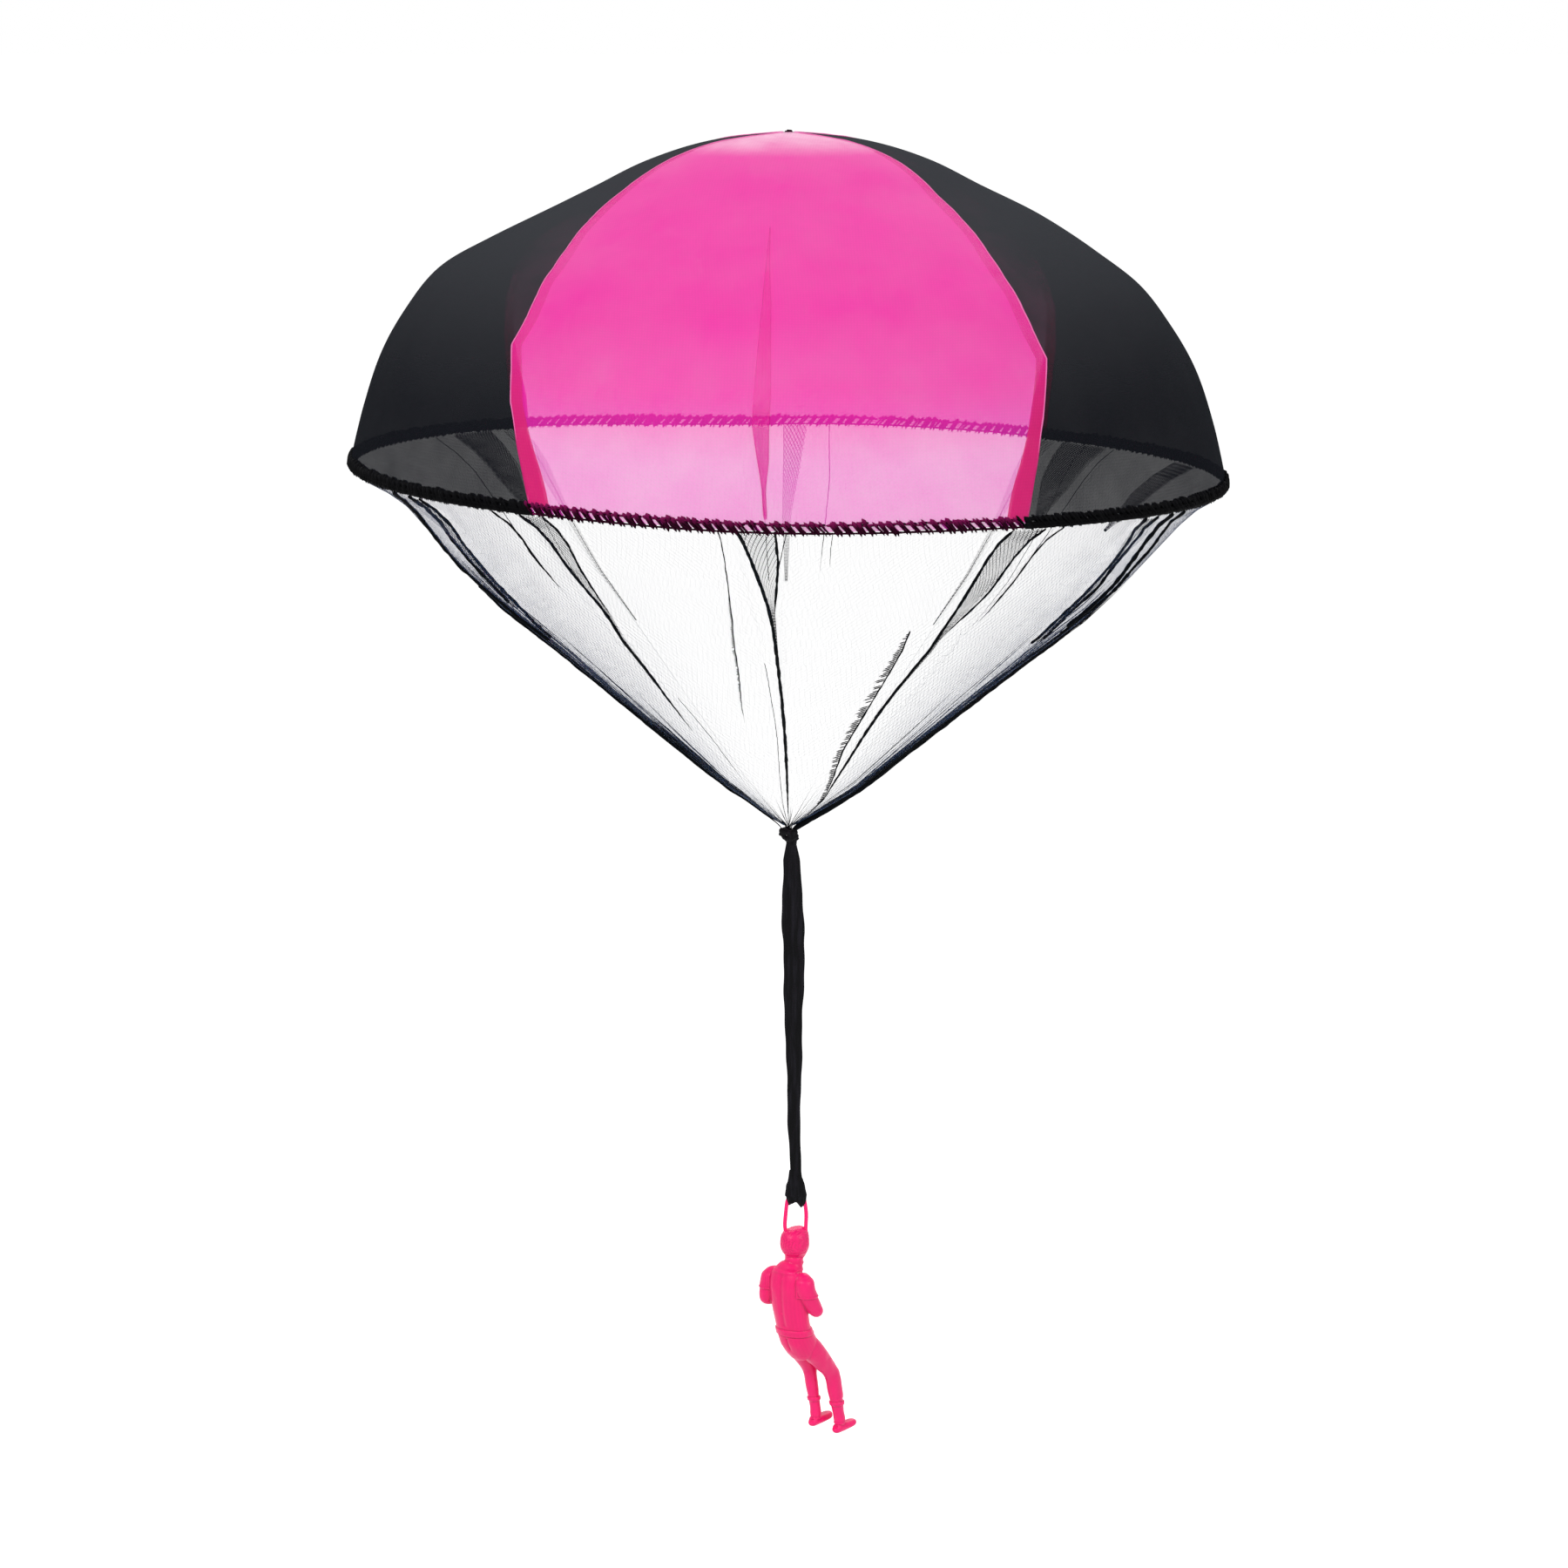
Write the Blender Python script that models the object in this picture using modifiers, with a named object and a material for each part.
"""Toy parachute: a four-gore cloth canopy, a net skirt, a strap and a moulded hanging figure.

Metres, +Z up. The origin is the top of the crown stitch, the camera side is -Y.
Azimuths are in degrees from the front (-Y), positive towards +X.
"""
import math

import bmesh
import bpy
import numpy as np
from mathutils import Matrix, Vector

MM = 0.001

# Cloth and running gaps
CLOTH = 0.5 * MM
TOUCH = 0.3 * MM
WELD = 0.01 * MM

# Canopy
RIM_RADIUS = 227.6 * MM
CANOPY_DEPTH = 175.0 * MM
RIM_SLANT_DEG = 1.4
PROFILE_SHARES = (
    (0.000, 0.000), (0.174, 0.026), (0.322, 0.083), (0.448, 0.162), (0.580, 0.249), (0.692, 0.333),
    (0.796, 0.422), (0.868, 0.535), (0.926, 0.665), (0.968, 0.825), (1.000, 1.000),
)
SLANT_START_SHARE = 0.50
SLANT_FULL_SHARE = 0.85

# Half angle of the pink gores against the share of the rim radius
SEAM_RADIUS_SHARES = (0.00, 0.35, 0.53, 0.72, 0.86, 0.93, 1.00)
FRONT_SEAM_DEG = (58.0, 54.5, 47.5, 40.5, 40.0, 37.8, 31.8)
BACK_SEAM_DEG = (58.0, 57.0, 54.5, 52.0, 49.0, 46.0, 40.7)
FRONT_CENTRE_DEG = -2.0
BACK_CENTRE_DEG = 181.7

# Tuck at the middle of the front gore
TUCK_DEG = -4.2
TUCK_WIDTH = 9.0 * MM
TUCK_HEIGHT = 1.6 * MM
TUCK_START_SHARE = 0.45
TUCK_CLEAR_SHARE = 1.5

# Crown stitch, seam allowances and hem
CROWN_STITCH_RADIUS = 2.2 * MM
CROWN_STITCH_HEIGHT = 1.6 * MM
ALLOWANCE_WIDTH = 8.0 * MM
ALLOWANCE_FULL_SHARE = 0.45
ALLOWANCE_BLACK_SHARE = 0.12
ALLOWANCE_START_SHARE = 0.22
HEM_HEIGHT = 5.0 * MM
HEM_THICKNESS = 1.6 * MM
HEM_ROUNDING = 0.5 * MM
HEM_DIP_SHARE = 0.3

# Net skirt, its pleats and its gather
NET_DROP = 188.0 * MM
NET_DOWN_SHARES = (0.00, 0.04, 0.09, 0.24, 0.37, 0.50, 0.60, 0.75, 0.89, 1.00)
NET_RADIUS_SHARES = (1.000, 0.945, 0.900, 0.790, 0.682, 0.545, 0.445, 0.295, 0.150, 0.000)
NET_LEFT_IN = 4.5 * MM
NET_LEFT_RUN_SHARE = 0.1
GATHER_RADIUS = 1.9 * MM
GATHER_FLARE = 0.6 * MM
PLEAT_WIDTH = 16.0 * MM
PLEAT_SIDE = 1.2 * MM
PLEAT_HEIGHT = 4.0 * MM
PLEAT_RUN_SHARE = 0.06
PLEAT_CLOSE_SHARE = 0.45
PLEAT_LEFT_SHARE = 0.16
PLEAT_END_SHARE = 0.2
PLEAT_CLEAR_SHARE = 0.72
PLEATS_DEG = {
    "front": (-4.2,),
    "right": (53.0, 130.0),
    "back": (174.0, 181.5),
    "left": (-130.0, -56.0),
}
BACK_PLEAT_WIDTH_SHARE = 0.55
NET_SEAM_WIDTH = 3.0 * MM

# Knot and strap
KNOT_RADIUS = 5.3 * MM
KNOT_HEIGHT = 9.4 * MM
KNOT_TILT_DEG = 10.0
KNOT_TURN_SHARE = 0.88
KNOT_CLOSING = 4.2 * MM
KNOT_CLOSING_SHARE = 0.9
STRAP_THICKNESS = 2.0 * MM
BAND_CORNER_SHARE = 0.6
BAND_LIP_SHARE = 0.4
BAND_STEPS = 8
NECK_STEPS = 3
BAND_END_DEG = (20.0, 50.0, 90.0)
NECK_TOP_DEG = (25.0, 50.0, 75.0)
BEND_GAP = 0.5 * MM
NECK_LENGTH = 9.0 * MM
UPPER_LENGTH = 87.0 * MM
LOWER_LENGTH = 83.0 * MM
HITCH_LENGTH = 14.4 * MM
NECK_WIDTH = 5.3 * MM
STRAP_WIDTH = 12.0 * MM
HITCH_WIDTH = 11.2 * MM
STRAP_DOWN_SHARES = (0.00, 0.05, 0.10, 0.27, 0.50, 0.66, 0.86, 0.93, 1.00)
STRAP_WIDTH_SHARES = (0.44, 0.72, 0.84, 1.00, 0.84, 0.69, 0.55, 0.52, 0.52)
RING_OFFSET = 3.9 * MM
STRAP_OFFSET_SHARES = (0.30, 0.32, 0.45, 0.66, 0.70, 0.70, 0.78, 0.86, 0.92)
HITCH_TOP_WIDTH_SHARE = 0.55
HITCH_DOWN_SHARES = (0.0, 0.3, 0.6, 0.85, 1.0)
WRAP_THICKNESS = 1.7 * MM
WRAP_SPLIT = 0.6 * MM

# Ring of the figure
RING_WIRE_RADIUS = 1.05 * MM
RING_WIDTH = 9.6 * MM
RING_CLEARANCE = 0.3 * MM
RING_CORNER = 2.0 * MM

# Figure, in shares of its height: right, forward, down from the ring bar
FIGURE_HEIGHT = 120.0 * MM
FIGURE_TURN_DEG = 40.0
FIGURE_SETBACK = 1.9 * MM
TORSO_SHARES = (
    (0.008, -0.022, 0.256, 0.042, 0.040), (0.006, -0.024, 0.286, 0.044, 0.042),
    (0.000, -0.038, 0.316, 0.072, 0.052), (0.000, -0.048, 0.345, 0.096, 0.060),
    (0.000, -0.050, 0.400, 0.098, 0.064), (0.000, -0.042, 0.480, 0.092, 0.064),
    (0.002, -0.026, 0.560, 0.087, 0.062), (0.002, -0.006, 0.620, 0.085, 0.066),
    (0.004, 0.028, 0.675, 0.082, 0.070), (0.002, 0.056, 0.716, 0.068, 0.060),
    (0.000, 0.064, 0.736, 0.030, 0.030),
)
HEAD_SHARES = (
    (0.000, -0.018, 0.131, 0.022, 0.026), (0.000, -0.018, 0.138, 0.038, 0.044),
    (0.000, -0.018, 0.156, 0.051, 0.058), (0.000, -0.018, 0.186, 0.057, 0.064),
    (0.000, -0.016, 0.214, 0.056, 0.062), (0.002, -0.013, 0.240, 0.048, 0.054),
    (0.004, -0.011, 0.262, 0.038, 0.044), (0.004, -0.011, 0.272, 0.022, 0.026),
)
LEFT_ARM_SHARES = (
    (-0.068, -0.044, 0.340, 0.034, 0.034), (-0.098, -0.050, 0.358, 0.042, 0.042),
    (-0.108, -0.056, 0.394, 0.040, 0.040), (-0.114, -0.066, 0.442, 0.036, 0.036),
    (-0.116, -0.064, 0.462, 0.030, 0.030), (-0.110, -0.038, 0.472, 0.024, 0.024),
    (-0.090, 0.012, 0.464, 0.022, 0.022), (-0.070, 0.050, 0.452, 0.020, 0.024),
    (-0.058, 0.066, 0.446, 0.010, 0.014),
)
RIGHT_ARM_SHARES = (
    (0.062, -0.042, 0.340, 0.034, 0.034), (0.086, -0.048, 0.358, 0.042, 0.042),
    (0.096, -0.042, 0.402, 0.040, 0.040), (0.106, -0.004, 0.474, 0.036, 0.036),
    (0.110, 0.012, 0.496, 0.031, 0.030), (0.088, 0.026, 0.490, 0.026, 0.026),
    (0.056, 0.046, 0.464, 0.022, 0.022), (0.030, 0.064, 0.444, 0.020, 0.024),
    (0.020, 0.070, 0.436, 0.010, 0.014),
)
LEFT_LEG_SHARES = (
    (-0.042, 0.030, 0.650, 0.040, 0.044), (-0.044, 0.052, 0.690, 0.046, 0.050),
    (-0.042, 0.090, 0.744, 0.043, 0.045), (-0.040, 0.132, 0.806, 0.033, 0.035),
    (-0.038, 0.146, 0.850, 0.030, 0.031), (-0.038, 0.160, 0.912, 0.028, 0.031),
    (-0.036, 0.178, 1.006, 0.022, 0.023), (-0.036, 0.184, 1.050, 0.023, 0.025),
    (-0.036, 0.184, 1.084, 0.016, 0.018),
)
RIGHT_LEG_SHARES = (
    (0.038, 0.022, 0.650, 0.040, 0.044), (0.042, 0.054, 0.696, 0.048, 0.052),
    (0.044, 0.114, 0.756, 0.045, 0.047), (0.046, 0.178, 0.824, 0.036, 0.038),
    (0.048, 0.204, 0.872, 0.034, 0.036), (0.048, 0.220, 0.936, 0.033, 0.036),
    (0.048, 0.242, 1.036, 0.024, 0.025), (0.050, 0.250, 1.080, 0.024, 0.026),
    (0.050, 0.250, 1.116, 0.016, 0.018),
)
FOOT_SHARES = (
    (0.000, -0.030, -0.004, 0.010, 0.012), (0.000, -0.024, 0.000, 0.020, 0.020),
    (0.000, 0.006, 0.000, 0.023, 0.020), (0.000, 0.050, -0.001, 0.026, 0.017),
    (0.000, 0.086, -0.003, 0.024, 0.015), (0.000, 0.104, -0.006, 0.012, 0.008),
)
LEFT_ANKLE_SHARES = (-0.036, 0.184, 1.065)
RIGHT_ANKLE_SHARES = (0.050, 0.250, 1.097)
RING_LEFT_SHARES = ((-0.006, -0.006, 0.070), (-0.009, -0.020, 0.125), (0.004, -0.028, 0.176))
RING_RIGHT_SHARES = ((0.006, -0.006, 0.070), (0.004, -0.022, 0.130), (0.004, -0.034, 0.196))

# Colours, roughness and metallic value of each material
PINK_CLOTH = ("pink_cloth", (0.86, 0.08, 0.41, 1.0), 0.7, 0.0)
BLACK_CLOTH = ("black_cloth", (0.02, 0.022, 0.026, 1.0), 0.7, 0.0)
PINK_SEAM = ("pink_seam", (0.78, 0.02, 0.22, 1.0), 0.8, 0.0)
HEM_THREAD = ("hem_thread", (0.03, 0.005, 0.018, 1.0), 0.8, 0.0)
CROWN_THREAD = ("crown_thread", (0.05, 0.01, 0.02, 1.0), 0.8, 0.0)
NET_TULLE = ("net_tulle", (0.10, 0.11, 0.12, 1.0), 0.8, 0.0)
STRAP_CLOTH = ("strap_cloth", (0.008, 0.008, 0.010, 1.0), 0.8, 0.0)
FIGURE_PLASTIC = ("figure_plastic", (0.90, 0.02, 0.18, 1.0), 0.35, 0.0)

# Grids
GORE_ROWS = 14
PROFILE_SAMPLES = 220
PINK_COLUMNS = 12
BLACK_COLUMNS = 14
NET_ROW_SHARES = (0.0, 0.03, 0.09, 0.17, 0.26, 0.36, 0.46, 0.56, 0.66, 0.76, 0.86, 0.94, 1.0)
NET_PLAIN_STEP_DEG = 13.0
ROUND_SIDES = 24
TUBE_SIDES = 10
WIRE_RESOLUTION = 3
LIMB_SIDES = 14
LIMB_STEPS = 2

# Places worked out from the sizes above
NET_TOP = -CANOPY_DEPTH - HEM_DIP_SHARE * HEM_THICKNESS - TOUCH
NET_BOTTOM = -CANOPY_DEPTH - NET_DROP
KNOT_TOP = NET_BOTTOM - TOUCH
KNOT_BOTTOM = KNOT_TOP - KNOT_HEIGHT
NECK_TOP = KNOT_BOTTOM - TOUCH
NECK_BOTTOM = NECK_TOP - NECK_LENGTH
UPPER_TOP = NECK_BOTTOM - BEND_GAP
UPPER_BOTTOM = UPPER_TOP - UPPER_LENGTH
LOWER_TOP = UPPER_BOTTOM - BEND_GAP
LOWER_BOTTOM = LOWER_TOP - LOWER_LENGTH
HITCH_TOP = LOWER_BOTTOM - TOUCH
RING_BAR = HITCH_TOP - HITCH_LENGTH


def clear_scene():
    """Remove every object of the open file."""
    for item in list(bpy.data.objects):
        bpy.data.objects.remove(item, do_unlink=True)


def new_collection(name):
    """A collection linked to the scene."""
    group = bpy.data.collections.new(name)
    bpy.context.scene.collection.children.link(group)
    return group


def material(recipe):
    """A Principled material from (name, colour, roughness, metallic), made once."""
    name, colour, roughness, metallic = recipe
    found = bpy.data.materials.get(name)
    if found:
        return found
    made = bpy.data.materials.new(name)
    made.use_nodes = True
    made.diffuse_color = colour
    shader = made.node_tree.nodes["Principled BSDF"]
    shader.inputs["Base Color"].default_value = colour
    shader.inputs["Roughness"].default_value = roughness
    shader.inputs["Metallic"].default_value = metallic
    return made


def add_object(name, mesh, group, recipe, smooth=True):
    """Wrap a mesh as a named object of a collection, with its material."""
    item = bpy.data.objects.new(name, mesh)
    group.objects.link(item)
    if recipe:
        mesh.materials.append(material(recipe))
    if smooth:
        for face in mesh.polygons:
            face.use_smooth = True
    return item


def finish_mesh(name, work, outward=True):
    """Turn a bmesh into mesh data, its faces made to look outward when it is closed."""
    if outward:
        bmesh.ops.recalc_face_normals(work, faces=work.faces)
    mesh = bpy.data.meshes.new(name)
    work.to_mesh(mesh)
    work.free()
    return mesh


def solidify(item, thickness, offset):
    """Give a sheet its thickness: offset -1 grows inward, 0 to both sides."""
    skin = item.modifiers.new("thickness", "SOLIDIFY")
    skin.thickness = thickness
    skin.offset = offset
    return skin


def smooth_step(share):
    """0 below 0, 1 above 1, eased between."""
    held = min(max(share, 0.0), 1.0)
    return held * held * (3.0 - 2.0 * held)


def along(table, share):
    """A smooth curve through the table's points, which lie at even shares."""
    points = np.array(table, float)
    last = len(points) - 1
    place = min(max(share, 0.0), 1.0) * last
    k = min(int(place), last - 1)
    f = place - k
    before = points[max(k - 1, 0)]
    here = points[k]
    there = points[k + 1]
    after = points[min(k + 2, last)]
    line = 2.0 * here + (there - before) * f
    square = (2.0 * before - 5.0 * here + 4.0 * there - after) * f ** 2
    cube = (3.0 * here - before - 3.0 * there + after) * f ** 3
    return 0.5 * (line + square + cube)


def polar(radius, azimuth_deg, height):
    """A point at an azimuth from the front."""
    turn = math.radians(azimuth_deg)
    return Vector((radius * math.sin(turn), -radius * math.cos(turn), height))


# Canopy surface

def profile(share):
    """Radius and height of the canopy's outer side at a share of its way down."""
    across, down = along(PROFILE_SHARES, share)
    return across * RIM_RADIUS, -down * CANOPY_DEPTH


def profile_normal(share):
    """Outward normal of the profile, as (radial, up)."""
    step = 0.5 / (len(PROFILE_SHARES) - 1) / GORE_ROWS
    r0, z0 = profile(share - step)
    r1, z1 = profile(share + step)
    length = math.hypot(r1 - r0, z1 - z0)
    return (z0 - z1) / length, (r1 - r0) / length


def share_at(column, value):
    """The share of the way down where radius (0) or height (1) reaches a value."""
    shares = np.linspace(0.0, 1.0, PROFILE_SAMPLES)
    reached = [abs(profile(s)[column]) for s in shares]
    return float(np.interp(abs(value), reached, shares))


def slant(x, radius):
    """How far the slanted rim hangs below the level one at a place across the canopy."""
    way = radius / RIM_RADIUS - SLANT_START_SHARE
    grown = smooth_step(way / (SLANT_FULL_SHARE - SLANT_START_SHARE))
    return -x * math.tan(math.radians(RIM_SLANT_DEG)) * grown


def seam_deg(seam, radius):
    """Azimuth of one of the four seams at a radius."""
    end, side = seam.split("_")
    table = FRONT_SEAM_DEG if end == "front" else BACK_SEAM_DEG
    half = float(np.interp(radius / RIM_RADIUS, SEAM_RADIUS_SHARES, table))
    if end == "front":
        return FRONT_CENTRE_DEG + (half if side == "right" else -half)
    return BACK_CENTRE_DEG - half if side == "right" else BACK_CENTRE_DEG - 360.0 + half


def tuck_height(azimuth_deg, radius, share):
    """Outward height of the front gore's middle tuck."""
    grown = smooth_step((share - TUCK_START_SHARE) / (1.0 - TUCK_START_SHARE))
    away = abs(math.radians(azimuth_deg - TUCK_DEG)) * radius
    half = 0.5 * TUCK_WIDTH * max(grown, 1.0 / GORE_ROWS)
    return TUCK_HEIGHT * grown * smooth_step(1.0 - away / half)


def canopy_point(azimuth_deg, share, depth=0.0):
    """A point of the canopy at a depth under its outer side."""
    radius, height = profile(share)
    out_r, out_z = profile_normal(share)
    lift = tuck_height(azimuth_deg, radius, share) - depth
    point = polar(radius + lift * out_r, azimuth_deg, height + lift * out_z)
    point.z += slant(point.x, radius)
    return point


GORES = {
    "front": ("front_left", "front_right", PINK_CLOTH),
    "right": ("front_right", "back_right", BLACK_CLOTH),
    "back": ("back_right", "back_left", PINK_CLOTH),
    "left": ("back_left", "front_left", BLACK_CLOTH),
}
SEAMS = ("front_left", "front_right", "back_right", "back_left")


def gore_edges_deg(side, radius, gap):
    """Azimuths of a gore's two edges at a radius, each half a gap short of its seam."""
    left, right, _ = GORES[side]
    start = seam_deg(left, radius)
    end = seam_deg(right, radius)
    if end < start:
        end += 360.0
    inset = math.degrees(0.5 * gap / radius)
    return start + inset, end - inset


def grid_sheet(name, columns, rows, place, group, recipe):
    """A sheet of columns x rows cells, each corner put where place(column, row) says."""
    work = bmesh.new()
    bmesh.ops.create_grid(work, x_segments=columns, y_segments=rows, size=0.5)
    for vert in work.verts:
        column = round((vert.co.x + 0.5) * columns)
        row = round((vert.co.y + 0.5) * rows)
        vert.co = place(column, row)
    bmesh.ops.reverse_faces(work, faces=work.faces)
    return add_object(name, finish_mesh(name, work, outward=False), group, recipe)


def gore_columns(side):
    """Shares across a gore of its plain grid columns, closer together beside the front tuck."""
    if side in ("left", "right"):
        return [k / BLACK_COLUMNS for k in range(BLACK_COLUMNS + 1)]
    shares = [k / PINK_COLUMNS for k in range(PINK_COLUMNS + 1)]
    if side == "back":
        return shares
    start, end = gore_edges_deg(side, RIM_RADIUS, TOUCH)
    middle = (TUCK_DEG - start) / (end - start)
    half = math.degrees(0.5 * TUCK_WIDTH / RIM_RADIUS) / (end - start)
    kept = [s for s in shares if abs(s - middle) > TUCK_CLEAR_SHARE * half]
    beside = [-half, -0.5 * half, 0.0, 0.5 * half, half]
    return sorted(kept + [middle + aside for aside in beside])


def gore_rows():
    """Shares down the canopy of the gores' grid rows, from the crown stitch to the hem."""
    top = share_at(0, CROWN_STITCH_RADIUS + TOUCH)
    bottom = share_at(1, CANOPY_DEPTH - HEM_HEIGHT - TOUCH)
    return [top + (bottom - top) * k / GORE_ROWS for k in range(GORE_ROWS + 1)]


def allowance_width(radius):
    """Width of a seam allowance, which narrows towards the crown."""
    return ALLOWANCE_WIDTH * min(radius / (ALLOWANCE_FULL_SHARE * RIM_RADIUS), 1.0)


def make_gore(side, group):
    """One canopy panel, with a grid line along the edge of each seam allowance."""
    rows = gore_rows()
    shares = gore_columns(side)
    if side in ("front", "back"):
        columns = [(0.0, 0.0), (0.0, 1.0)] + [(s, 0.0) for s in shares[1:-1]] + [(1.0, -1.0), (1.0, 0.0)]
    else:
        columns = [(s, 0.0) for s in shares]

    def place(column, row):
        radius = profile(rows[row])[0]
        start, end = gore_edges_deg(side, radius, TOUCH)
        share, edge = columns[column]
        aside = edge * (1.0 - ALLOWANCE_BLACK_SHARE) * allowance_width(radius)
        return canopy_point(start + (end - start) * share + math.degrees(aside / radius), rows[row])

    name = f"canopy_gore_{side}"
    item = grid_sheet(name, len(columns) - 1, GORE_ROWS, place, group, GORES[side][2])
    solidify(item, CLOTH, -1.0)
    return item


def make_seam_allowance(seam, group):
    """The turned-in cloth under a seam, lying mostly on the pink side."""
    rows = [share for share in gore_rows() if profile(share)[0] > ALLOWANCE_START_SHARE * RIM_RADIUS]
    towards_pink = 1.0 if seam in ("front_left", "back_right") else -1.0
    sides = (-ALLOWANCE_BLACK_SHARE, 1.0 - ALLOWANCE_BLACK_SHARE)
    if towards_pink < 0.0:
        sides = (ALLOWANCE_BLACK_SHARE - 1.0, ALLOWANCE_BLACK_SHARE)

    def place(column, row):
        radius = profile(rows[row])[0]
        offset = sides[column] * allowance_width(radius)
        azimuth = seam_deg(seam, radius) + math.degrees(offset / radius)
        return canopy_point(azimuth, rows[row], CLOTH + TOUCH)

    item = grid_sheet(f"seam_allowance_{seam}", 1, len(rows) - 1, place, group, PINK_SEAM)
    solidify(item, CLOTH, -1.0)
    return item


def make_hem(side, group):
    """One quarter of the overlocked hem, under its gore."""
    columns = BLACK_COLUMNS
    outer = 0.5 * (HEM_THICKNESS - CLOTH)

    def place(column, row):
        down = CANOPY_DEPTH - HEM_HEIGHT * (1 - row)
        share = share_at(1, down)
        start, end = gore_edges_deg(side, RIM_RADIUS, TOUCH)
        return canopy_point(start + (end - start) * column / columns, share, -outer)

    item = grid_sheet(f"hem_{side}", columns, 1, place, group, HEM_THREAD)
    solidify(item, HEM_THICKNESS, -1.0)
    soften = item.modifiers.new("rounding", "BEVEL")
    soften.width = HEM_ROUNDING
    soften.segments = 1
    soften.limit_method = "ANGLE"
    return item


def make_crown_stitch(group):
    """The small thread knot where the four gores meet, its top at the origin."""
    work = bmesh.new()
    bmesh.ops.create_uvsphere(work, u_segments=ROUND_SIDES, v_segments=TUBE_SIDES, radius=1.0)
    middle = Vector((0.0, 0.0, -0.5 * CROWN_STITCH_HEIGHT))
    size = (CROWN_STITCH_RADIUS, CROWN_STITCH_RADIUS, 0.5 * CROWN_STITCH_HEIGHT)
    bmesh.ops.scale(work, vec=size, verts=work.verts)
    bmesh.ops.translate(work, vec=middle, verts=work.verts)
    return add_object("crown_stitch", finish_mesh("crown_stitch", work), group, CROWN_THREAD)


# Net skirt

def net_line(azimuth_deg, share):
    """Radius and height of the net's mid surface at a share of its way down."""
    top_radius = RIM_RADIUS - 0.5 * CLOTH
    bottom_radius = GATHER_RADIUS + GATHER_FLARE + TOUCH + 0.5 * CLOTH
    out = float(np.interp(share, NET_DOWN_SHARES, NET_RADIUS_SHARES))
    held = smooth_step(share / NET_LEFT_RUN_SHARE) * smooth_step((1.0 - share) / NET_LEFT_RUN_SHARE)
    left = NET_LEFT_IN * held * max(-math.sin(math.radians(azimuth_deg)), 0.0)
    radius = bottom_radius + (top_radius - bottom_radius) * out - left
    edge = RIM_RADIUS * math.sin(math.radians(azimuth_deg))
    height = NET_TOP + (NET_BOTTOM - NET_TOP) * share + slant(edge, RIM_RADIUS) * (1.0 - share)
    return radius, height


def pleat_scale(share):
    """Width of a pleat against its width at the hem."""
    closed = smooth_step(share / PLEAT_CLOSE_SHARE)
    return (1.0 - closed) + closed * PLEAT_LEFT_SHARE * max(1.0 - share, PLEAT_END_SHARE)


def pleat_rise(share):
    """Height of a pleat above the net: none at the hem and at the gather."""
    return PLEAT_HEIGHT * smooth_step(share / PLEAT_RUN_SHARE) * (1.0 - share)


def net_point(azimuth_deg, aside, raised, share, inset=0.0):
    """A net point at a distance aside from an azimuth, raised on a pleat or not, less an inset."""
    radius, height = net_line(azimuth_deg, share)
    azimuth = azimuth_deg + math.degrees(aside * pleat_scale(share) / radius)
    fall = (NET_TOP - NET_BOTTOM) / RIM_RADIUS
    lift = (pleat_rise(share) if raised else 0.0) - inset
    length = math.hypot(fall, 1.0)
    return polar(radius + lift * fall / length, azimuth, height - lift / length)


def net_stations(side):
    """Across one net panel: (azimuth, distance aside at the hem, raised) of each column."""
    start, end = gore_edges_deg(side, RIM_RADIUS, 0.0)
    width = PLEAT_WIDTH * (BACK_PLEAT_WIDTH_SHARE if side == "back" else 1.0)
    half = 0.5 * PLEAT_WIDTH
    stations = [(start, 0.0, True), (start, half, True), (start, half + PLEAT_SIDE, False)]
    taken = [start, end]
    for pleat in PLEATS_DEG[side]:
        near = 0.5 * width
        stations += [(pleat, -near - PLEAT_SIDE, False), (pleat, -near, True)]
        stations += [(pleat, near, True), (pleat, near + PLEAT_SIDE, False)]
        taken.append(pleat)
    count = max(int((end - start) / NET_PLAIN_STEP_DEG), 1)
    clear = math.degrees((PLEAT_CLEAR_SHARE * PLEAT_WIDTH + PLEAT_SIDE) / RIM_RADIUS)
    for k in range(1, count):
        azimuth = start + (end - start) * k / count
        if all(abs(azimuth - other) > clear for other in taken):
            stations.append((azimuth, 0.0, False))
    stations += [(end, -half - PLEAT_SIDE, False), (end, -half, True), (end, 0.0, True)]
    return sorted(stations, key=lambda s: s[0] + math.degrees(s[1] / RIM_RADIUS))


def make_net_panel(side, group):
    """One panel of the net skirt with its pleats, from the hem to the gather."""
    stations = net_stations(side)
    last = len(stations) - 1

    def place(column, row):
        share = NET_ROW_SHARES[row]
        azimuth, aside, raised = stations[column]
        point = net_point(azimuth, aside, raised, share)
        turn = 0.5 * TOUCH / math.hypot(point.x, point.y)
        if azimuth == stations[0][0]:
            point.rotate(Matrix.Rotation(turn, 3, "Z"))
        if azimuth == stations[last][0]:
            point.rotate(Matrix.Rotation(-turn, 3, "Z"))
        return point

    item = grid_sheet(f"net_panel_{side}", last, len(NET_ROW_SHARES) - 1, place, group, NET_TULLE)
    solidify(item, CLOTH, 0.0)
    return item


def make_net_seam(seam, group):
    """The narrow tape inside the joint of two net panels, which ends short of the gather."""
    rows = len(NET_ROW_SHARES) - 2

    def place(column, row):
        azimuth = seam_deg(seam, RIM_RADIUS)
        width = NET_SEAM_WIDTH * (column - 0.5)
        return net_point(azimuth, width, True, NET_ROW_SHARES[row], CLOTH + TOUCH)

    item = grid_sheet(f"net_seam_{seam}", 1, rows, place, group, NET_TULLE)
    solidify(item, CLOTH, 0.0)
    return item


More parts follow.
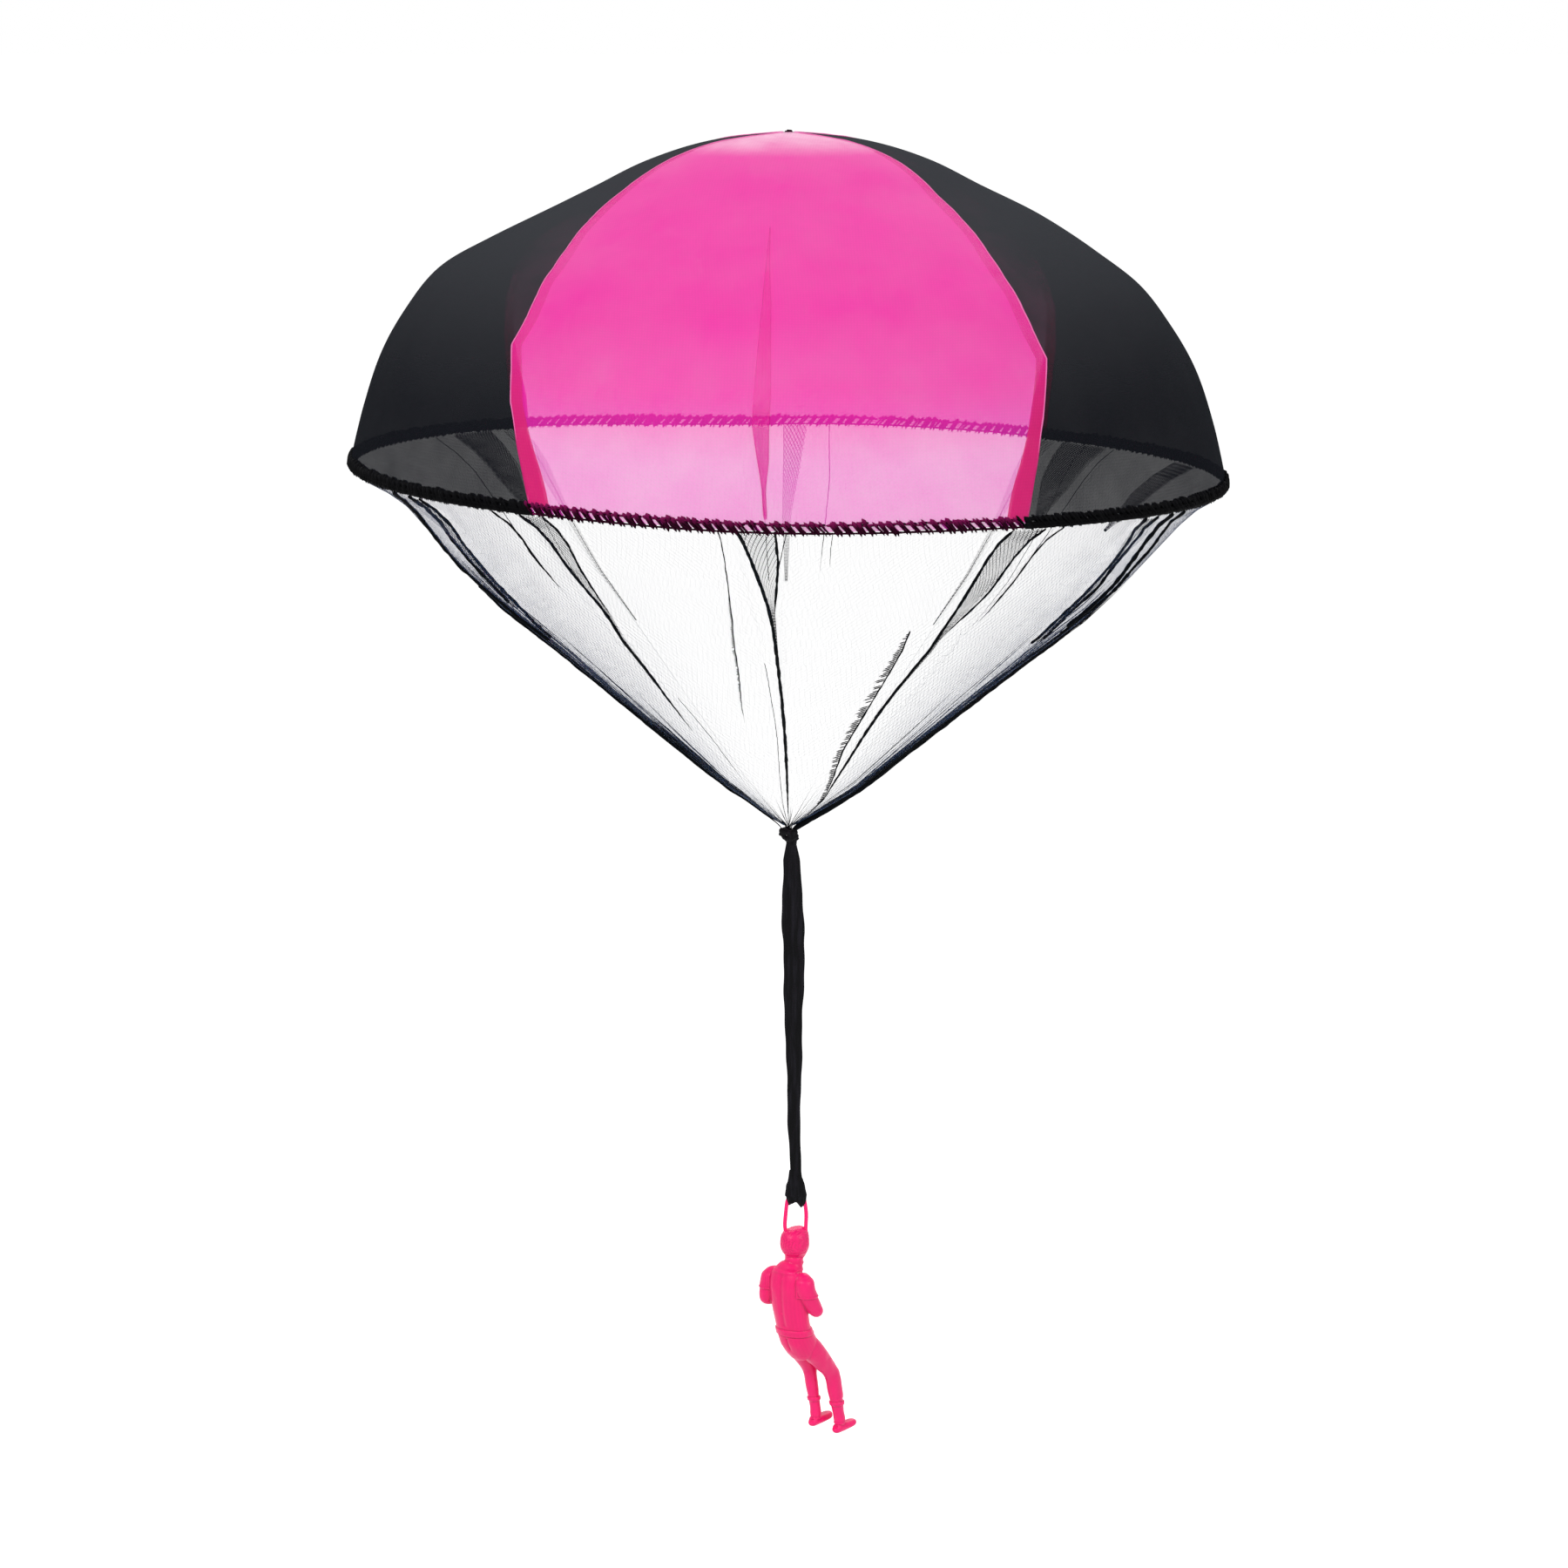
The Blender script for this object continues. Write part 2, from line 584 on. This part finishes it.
def turned(name, outline, group, recipe):
    """A solid of revolution about Z: the outline runs down its outer side from top to bottom."""
    work = bmesh.new()
    verts = [work.verts.new((radius, 0.0, height)) for radius, height in outline]
    for first, second in zip(verts, verts[1:]):
        work.edges.new((first, second))
    item = add_object(name, finish_mesh(name, work, outward=False), group, recipe, smooth=False)
    spin = item.modifiers.new("turn", "SCREW")
    spin.steps = ROUND_SIDES
    spin.render_steps = ROUND_SIDES
    spin.use_merge_vertices = True
    spin.merge_threshold = WELD
    spin.use_smooth_shade = True
    return item


def make_gather(group):
    """The bunched end of the net, which the knot is tied round."""
    rim = GATHER_RADIUS + GATHER_FLARE
    outline = [
        (0.0, NET_BOTTOM + rim), (rim, NET_BOTTOM + GATHER_RADIUS), (rim, NET_BOTTOM),
        (GATHER_RADIUS, NET_BOTTOM - GATHER_FLARE), (GATHER_RADIUS, KNOT_BOTTOM + KNOT_CLOSING + TOUCH),
        (0.0, KNOT_BOTTOM + KNOT_CLOSING + TOUCH),
    ]
    return turned("net_gather", outline, group, NET_TULLE)


# Knot, strap and hitch

def ring_loft(name, rings, group, recipe):
    """A closed skin over rings of points, with a cap on each end."""
    work = bmesh.new()
    loops = [[work.verts.new(point) for point in ring] for ring in rings]
    count = len(loops[0])
    for upper, lower in zip(loops, loops[1:]):
        for k in range(count):
            after = (k + 1) % count
            work.faces.new((upper[k], lower[k], lower[after], upper[after]))
    work.faces.new(loops[0])
    work.faces.new(loops[-1])
    return add_object(name, finish_mesh(name, work), group, recipe)


def join_by_union(item, others, cutters):
    """Fuse helper solids into an object with an exact union."""
    for other in others:
        other.hide_render = True
        other.display_type = "WIRE"
        for holder in list(other.users_collection):
            holder.objects.unlink(other)
        cutters.objects.link(other)
        fuse = item.modifiers.new(f"fuse {other.name}", "BOOLEAN")
        fuse.operation = "UNION"
        fuse.solver = "EXACT"
        fuse.object = other


def cut_with(item, cutter, cutters):
    """Cut a helper solid out of an object."""
    join_by_union(item, [cutter], cutters)
    item.modifiers[-1].operation = "DIFFERENCE"


def torus_solid(name, ring_radius, tube_radius, height, tilt_deg, group):
    """A torus round Z, tilted a little about X."""
    bpy.ops.mesh.primitive_torus_add(
        major_segments=ROUND_SIDES, minor_segments=TUBE_SIDES, major_radius=ring_radius,
        minor_radius=tube_radius, location=(0.0, 0.0, height), rotation=(math.radians(tilt_deg), 0.0, 0.0))
    item = bpy.context.object
    for holder in list(item.users_collection):
        holder.objects.unlink(item)
    group.objects.link(item)
    item.name = name
    item.data.name = name
    item.data.materials.append(material(STRAP_CLOTH))
    for face in item.data.polygons:
        face.use_smooth = True
    return item


def make_knot(group, cutters):
    """The strap's knot round the gathered net: two crossed turns and the part that closes them."""
    bore = GATHER_RADIUS + TOUCH
    tube = 0.5 * (KNOT_RADIUS - bore)
    middle = bore + tube
    drop = middle * math.sin(math.radians(KNOT_TILT_DEG)) + tube
    item = torus_solid("strap_knot", middle, tube, KNOT_TOP - drop, KNOT_TILT_DEG, group)
    lower = KNOT_TOP - drop - 2.0 * KNOT_TURN_SHARE * tube
    second = torus_solid("knot_second_turn", middle, tube, lower, -KNOT_TILT_DEG, cutters)
    work = bmesh.new()
    bmesh.ops.create_uvsphere(work, u_segments=ROUND_SIDES, v_segments=TUBE_SIDES, radius=1.0)
    plug = 0.5 * KNOT_CLOSING
    across = KNOT_CLOSING_SHARE * KNOT_RADIUS
    bmesh.ops.scale(work, vec=(across, across, plug), verts=work.verts)
    bmesh.ops.translate(work, vec=(0.0, 0.0, KNOT_BOTTOM + plug), verts=work.verts)
    closing = add_object("knot_closing", finish_mesh("knot_closing", work), cutters, STRAP_CLOTH)
    join_by_union(item, [second, closing], cutters)
    return item


def strap_share(height):
    """Share of the strap's length at a height."""
    return (NECK_TOP - height) / (NECK_TOP - LOWER_BOTTOM)


def strap_width(height):
    """Width of the strap at a height."""
    return STRAP_WIDTH * float(np.interp(strap_share(height), STRAP_DOWN_SHARES, STRAP_WIDTH_SHARES))


def strap_offset(height):
    """How far the strap's middle lies to the right at a height."""
    return RING_OFFSET * float(np.interp(strap_share(height), STRAP_DOWN_SHARES, STRAP_OFFSET_SHARES))


def band_ring(middle_x, height, width, thickness):
    """Eight corners of a flat band's rounded section."""
    half_width = 0.5 * width
    half = 0.5 * thickness
    inner = half_width - BAND_CORNER_SHARE * half
    lip = BAND_LIP_SHARE * half
    corners = [(half_width, lip), (inner, half), (-inner, half), (-half_width, lip)]
    corners += [(-x, -y) for x, y in corners]
    return [Vector((middle_x + x, y, height)) for x, y in corners]


def rounded_heights(top, bottom, round_top, round_bottom, steps, thickness):
    """(height, thickness) down a band whose ends are half round where asked."""
    half = 0.5 * thickness
    turns = [math.radians(a) for a in BAND_END_DEG]
    levels = []
    start, end = top, bottom
    if round_top:
        levels += [(top - half * (1.0 - math.cos(t)), thickness * math.sin(t)) for t in turns]
        start = top - half
    if round_bottom:
        end = bottom + half
    first = 1 if round_top else 0
    for k in range(first, steps + (0 if round_bottom else 1)):
        levels.append((start + (end - start) * k / steps, thickness))
    if round_bottom:
        levels += [(bottom + half * (1.0 - math.cos(t)), thickness * math.sin(t)) for t in reversed(turns)]
    return levels


def make_band(name, top, bottom, round_top, round_bottom, group):
    """A length of the doubled strap."""
    rings = []
    levels = rounded_heights(top, bottom, round_top, round_bottom, BAND_STEPS, STRAP_THICKNESS)
    for height, thick in levels:
        rings.append(band_ring(strap_offset(height), height, strap_width(height), thick))
    return ring_loft(name, rings, group, STRAP_CLOTH)


def make_neck(group):
    """The narrow start of the strap: round against the knot above, half round at the bend below."""
    pivot = neck_pivot()
    rings = []
    for turn_deg in NECK_TOP_DEG:
        turn = math.radians(turn_deg)
        height = pivot.z + 0.5 * NECK_WIDTH * math.cos(turn)
        rings.append(band_ring(pivot.x, height, NECK_WIDTH * math.sin(turn), STRAP_THICKNESS))
    for height, thick in rounded_heights(pivot.z, NECK_BOTTOM, False, True, NECK_STEPS, STRAP_THICKNESS):
        blend = (pivot.z - height) / (pivot.z - NECK_BOTTOM)
        width = NECK_WIDTH + (strap_width(NECK_BOTTOM) - NECK_WIDTH) * blend
        rings.append(band_ring(strap_offset(height), height, width, thick))
    return ring_loft("strap_neck", rings, group, STRAP_CLOTH)


def neck_pivot():
    """Axis point of the side swing: the middle of the neck's round top."""
    height = NECK_TOP - 0.5 * NECK_WIDTH
    return Vector((strap_offset(height), 0.0, height))


def x_cylinder(name, radius, start, end, height, group):
    """A cylinder along X."""
    work = bmesh.new()
    bmesh.ops.create_cone(
        work, cap_ends=True, segments=ROUND_SIDES, radius1=radius, radius2=radius, depth=end - start)
    lie = Matrix.Rotation(math.radians(90.0), 4, "Y")
    move = Matrix.Translation((0.5 * (start + end), 0.0, height))
    bmesh.ops.transform(work, matrix=move @ lie, verts=work.verts)
    return add_object(name, finish_mesh(name, work), group, STRAP_CLOTH)


def make_hitch(group, cutters):
    """The strap's looped end: a flared band and two wraps round the figure's ring bar."""
    bore = RING_WIRE_RADIUS + RING_CLEARANCE
    outer = bore + WRAP_THICKNESS
    flare_end = RING_BAR + RING_WIRE_RADIUS + 2.0 * RING_CLEARANCE
    top_width = HITCH_WIDTH * HITCH_TOP_WIDTH_SHARE
    rings = []
    for share in HITCH_DOWN_SHARES:
        height = HITCH_TOP + (flare_end - HITCH_TOP) * share
        width = top_width + (HITCH_WIDTH - top_width) * smooth_step(share)
        middle = strap_offset(LOWER_BOTTOM) + (RING_OFFSET - strap_offset(LOWER_BOTTOM)) * share
        rings.append(band_ring(middle, height, width, STRAP_THICKNESS))
    item = ring_loft("strap_hitch", rings, group, STRAP_CLOTH)
    half = 0.5 * RING_WIDTH - RING_WIRE_RADIUS - 2.0 * RING_CLEARANCE
    split = 0.5 * WRAP_SPLIT
    left = x_cylinder("hitch_left_wrap", outer, RING_OFFSET - half, RING_OFFSET - split, RING_BAR, cutters)
    right = x_cylinder("hitch_right_wrap", outer, RING_OFFSET + split, RING_OFFSET + half, RING_BAR, cutters)
    join_by_union(item, [left, right], cutters)
    hole = x_cylinder(
        "hitch_bore", bore, RING_OFFSET - HITCH_WIDTH, RING_OFFSET + HITCH_WIDTH, RING_BAR, cutters)
    cut_with(item, hole, cutters)
    return item


# Figure

def figure_point(right, forward, down):
    """A place on the figure from shares of its height, seen from the ring bar."""
    turn = math.radians(FIGURE_TURN_DEG)
    a = right * FIGURE_HEIGHT
    b = forward * FIGURE_HEIGHT
    x = RING_OFFSET + a * math.cos(turn) + b * math.sin(turn)
    y = b * math.cos(turn) - a * math.sin(turn) - FIGURE_SETBACK
    return Vector((x, y, RING_BAR - down * FIGURE_HEIGHT))


def limb(name, stations, group):
    """A skin over elliptic sections square to the line of their middles."""
    turn = math.radians(FIGURE_TURN_DEG)
    right = Vector((math.cos(turn), -math.sin(turn), 0.0))
    steps = LIMB_STEPS * (len(stations) - 1)
    stations = [along(stations, k / steps) for k in range(steps + 1)]
    middles = [figure_point(*station[:3]) for station in stations]
    rings = []
    last = len(stations) - 1
    for k, station in enumerate(stations):
        way = (middles[min(k + 1, last)] - middles[max(k - 1, 0)]).normalized()
        side = (right - way * right.dot(way)).normalized()
        front = way.cross(side)
        half_side = station[3] * FIGURE_HEIGHT
        half_front = station[4] * FIGURE_HEIGHT
        ring = []
        for j in range(LIMB_SIDES):
            roll = 2.0 * math.pi * j / LIMB_SIDES
            ring.append(middles[k] + side * half_side * math.cos(roll) + front * half_front * math.sin(roll))
        rings.append(ring)
    return ring_loft(name, rings, group, FIGURE_PLASTIC)


def foot_stations(ankle):
    """The foot's sections, set under an ankle."""
    return [
        (ankle[0] + s[0], ankle[1] + s[1], ankle[2] + s[2] + FOOT_SHARES[1][4], s[3], s[4])
        for s in FOOT_SHARES
    ]


def ring_path():
    """The wire's middle line: up the left side of the head, along the bar and down the right."""
    half = 0.5 * RING_WIDTH
    points = []
    for shares in reversed(RING_LEFT_SHARES):
        lean, back, down = (share * FIGURE_HEIGHT for share in shares)
        points.append(Vector((RING_OFFSET - half + lean, back, RING_BAR - down)))
    bend = RING_CORNER * (1.0 - math.sqrt(0.5))
    left = RING_OFFSET - half
    right = RING_OFFSET + half
    points.append(Vector((left, 0.0, RING_BAR - RING_CORNER)))
    points.append(Vector((left + bend, 0.0, RING_BAR - bend)))
    points.append(Vector((left + RING_CORNER, 0.0, RING_BAR)))
    points.append(Vector((right - RING_CORNER, 0.0, RING_BAR)))
    points.append(Vector((right - bend, 0.0, RING_BAR - bend)))
    points.append(Vector((right, 0.0, RING_BAR - RING_CORNER)))
    for shares in RING_RIGHT_SHARES:
        lean, back, down = (share * FIGURE_HEIGHT for share in shares)
        points.append(Vector((RING_OFFSET + half + lean, back, RING_BAR - down)))
    return points


def wire_tube(name, points, radius, group):
    """A round wire along a path, with closed ends, as a mesh."""
    path = bpy.data.curves.new(name, "CURVE")
    path.dimensions = "3D"
    path.bevel_depth = radius
    path.bevel_resolution = WIRE_RESOLUTION
    path.use_fill_caps = True
    line = path.splines.new("POLY")
    line.points.add(len(points) - 1)
    for held, point in zip(line.points, points):
        held.co = (*point, 1.0)
    drawn = bpy.data.objects.new(name, path)
    group.objects.link(drawn)
    bpy.context.view_layer.update()
    shape = drawn.evaluated_get(bpy.context.evaluated_depsgraph_get())
    work = bmesh.new()
    work.from_mesh(shape.to_mesh())
    bpy.data.objects.remove(drawn, do_unlink=True)
    bmesh.ops.remove_doubles(work, verts=work.verts, dist=WELD)
    return add_object(name, finish_mesh(name, work), group, FIGURE_PLASTIC)


def make_figure(group, cutters):
    """The moulded figure with its hanging ring, one solid."""
    item = limb("figure", TORSO_SHARES, group)
    pieces = [
        limb("figure_head", HEAD_SHARES, cutters),
        limb("figure_left_arm", LEFT_ARM_SHARES, cutters),
        limb("figure_right_arm", RIGHT_ARM_SHARES, cutters),
        limb("figure_left_leg", LEFT_LEG_SHARES, cutters),
        limb("figure_right_leg", RIGHT_LEG_SHARES, cutters),
        limb("figure_left_foot", foot_stations(LEFT_ANKLE_SHARES), cutters),
        limb("figure_right_foot", foot_stations(RIGHT_ANKLE_SHARES), cutters),
        wire_tube("figure_ring", ring_path(), RING_WIRE_RADIUS, cutters),
    ]
    join_by_union(item, pieces, cutters)
    return item


# Joints

def joint_empty(name, place, parent, group):
    """An empty on a joint's axis, hung from the one before it."""
    empty = bpy.data.objects.new(name, None)
    group.objects.link(empty)
    empty.empty_display_size = KNOT_RADIUS
    if parent:
        empty.parent = parent
        empty.location = place - parent.matrix_world.translation
    else:
        empty.location = place
    bpy.context.view_layer.update()
    return empty


def hang(item, empty):
    """Parent a piece to a joint's empty and leave it where it is."""
    item.parent = empty
    item.matrix_parent_inverse = Matrix.Translation(-empty.matrix_world.translation)


def joint_places():
    """Each joint's axis point, in order down the chain."""
    bend_one = NECK_BOTTOM - 0.5 * BEND_GAP
    bend_two = UPPER_BOTTOM - 0.5 * BEND_GAP
    twist = LOWER_BOTTOM - 0.5 * TOUCH
    return {
        "strap_side_swing": neck_pivot(),
        "strap_fore_swing": Vector((strap_offset(bend_one), 0.0, bend_one)),
        "strap_mid_bend": Vector((strap_offset(bend_two), 0.0, bend_two)),
        "hitch_twist": Vector((strap_offset(LOWER_BOTTOM), 0.0, twist)),
        "figure_swing": Vector((RING_OFFSET, 0.0, RING_BAR)),
    }


def main():
    """Build the whole toy."""
    clear_scene()
    group = new_collection("toy_parachute")
    cutters = new_collection("cutters")
    make_crown_stitch(group)
    for side in GORES:
        make_gore(side, group)
        make_hem(side, group)
        make_net_panel(side, group)
    for seam in SEAMS:
        make_seam_allowance(seam, group)
        make_net_seam(seam, group)
    make_gather(group)
    make_knot(group, cutters)
    moving = {
        "strap_side_swing": make_neck(group),
        "strap_fore_swing": make_band("strap_upper", UPPER_TOP, UPPER_BOTTOM, True, True, group),
        "strap_mid_bend": make_band("strap_lower", LOWER_TOP, LOWER_BOTTOM, True, False, group),
        "hitch_twist": make_hitch(group, cutters),
        "figure_swing": make_figure(group, cutters),
    }
    parent = None
    for name, place in joint_places().items():
        parent = joint_empty(name, place, parent, group)
        hang(moving[name], parent)
        print("joint", name, [round(value, 6) for value in place])


main()
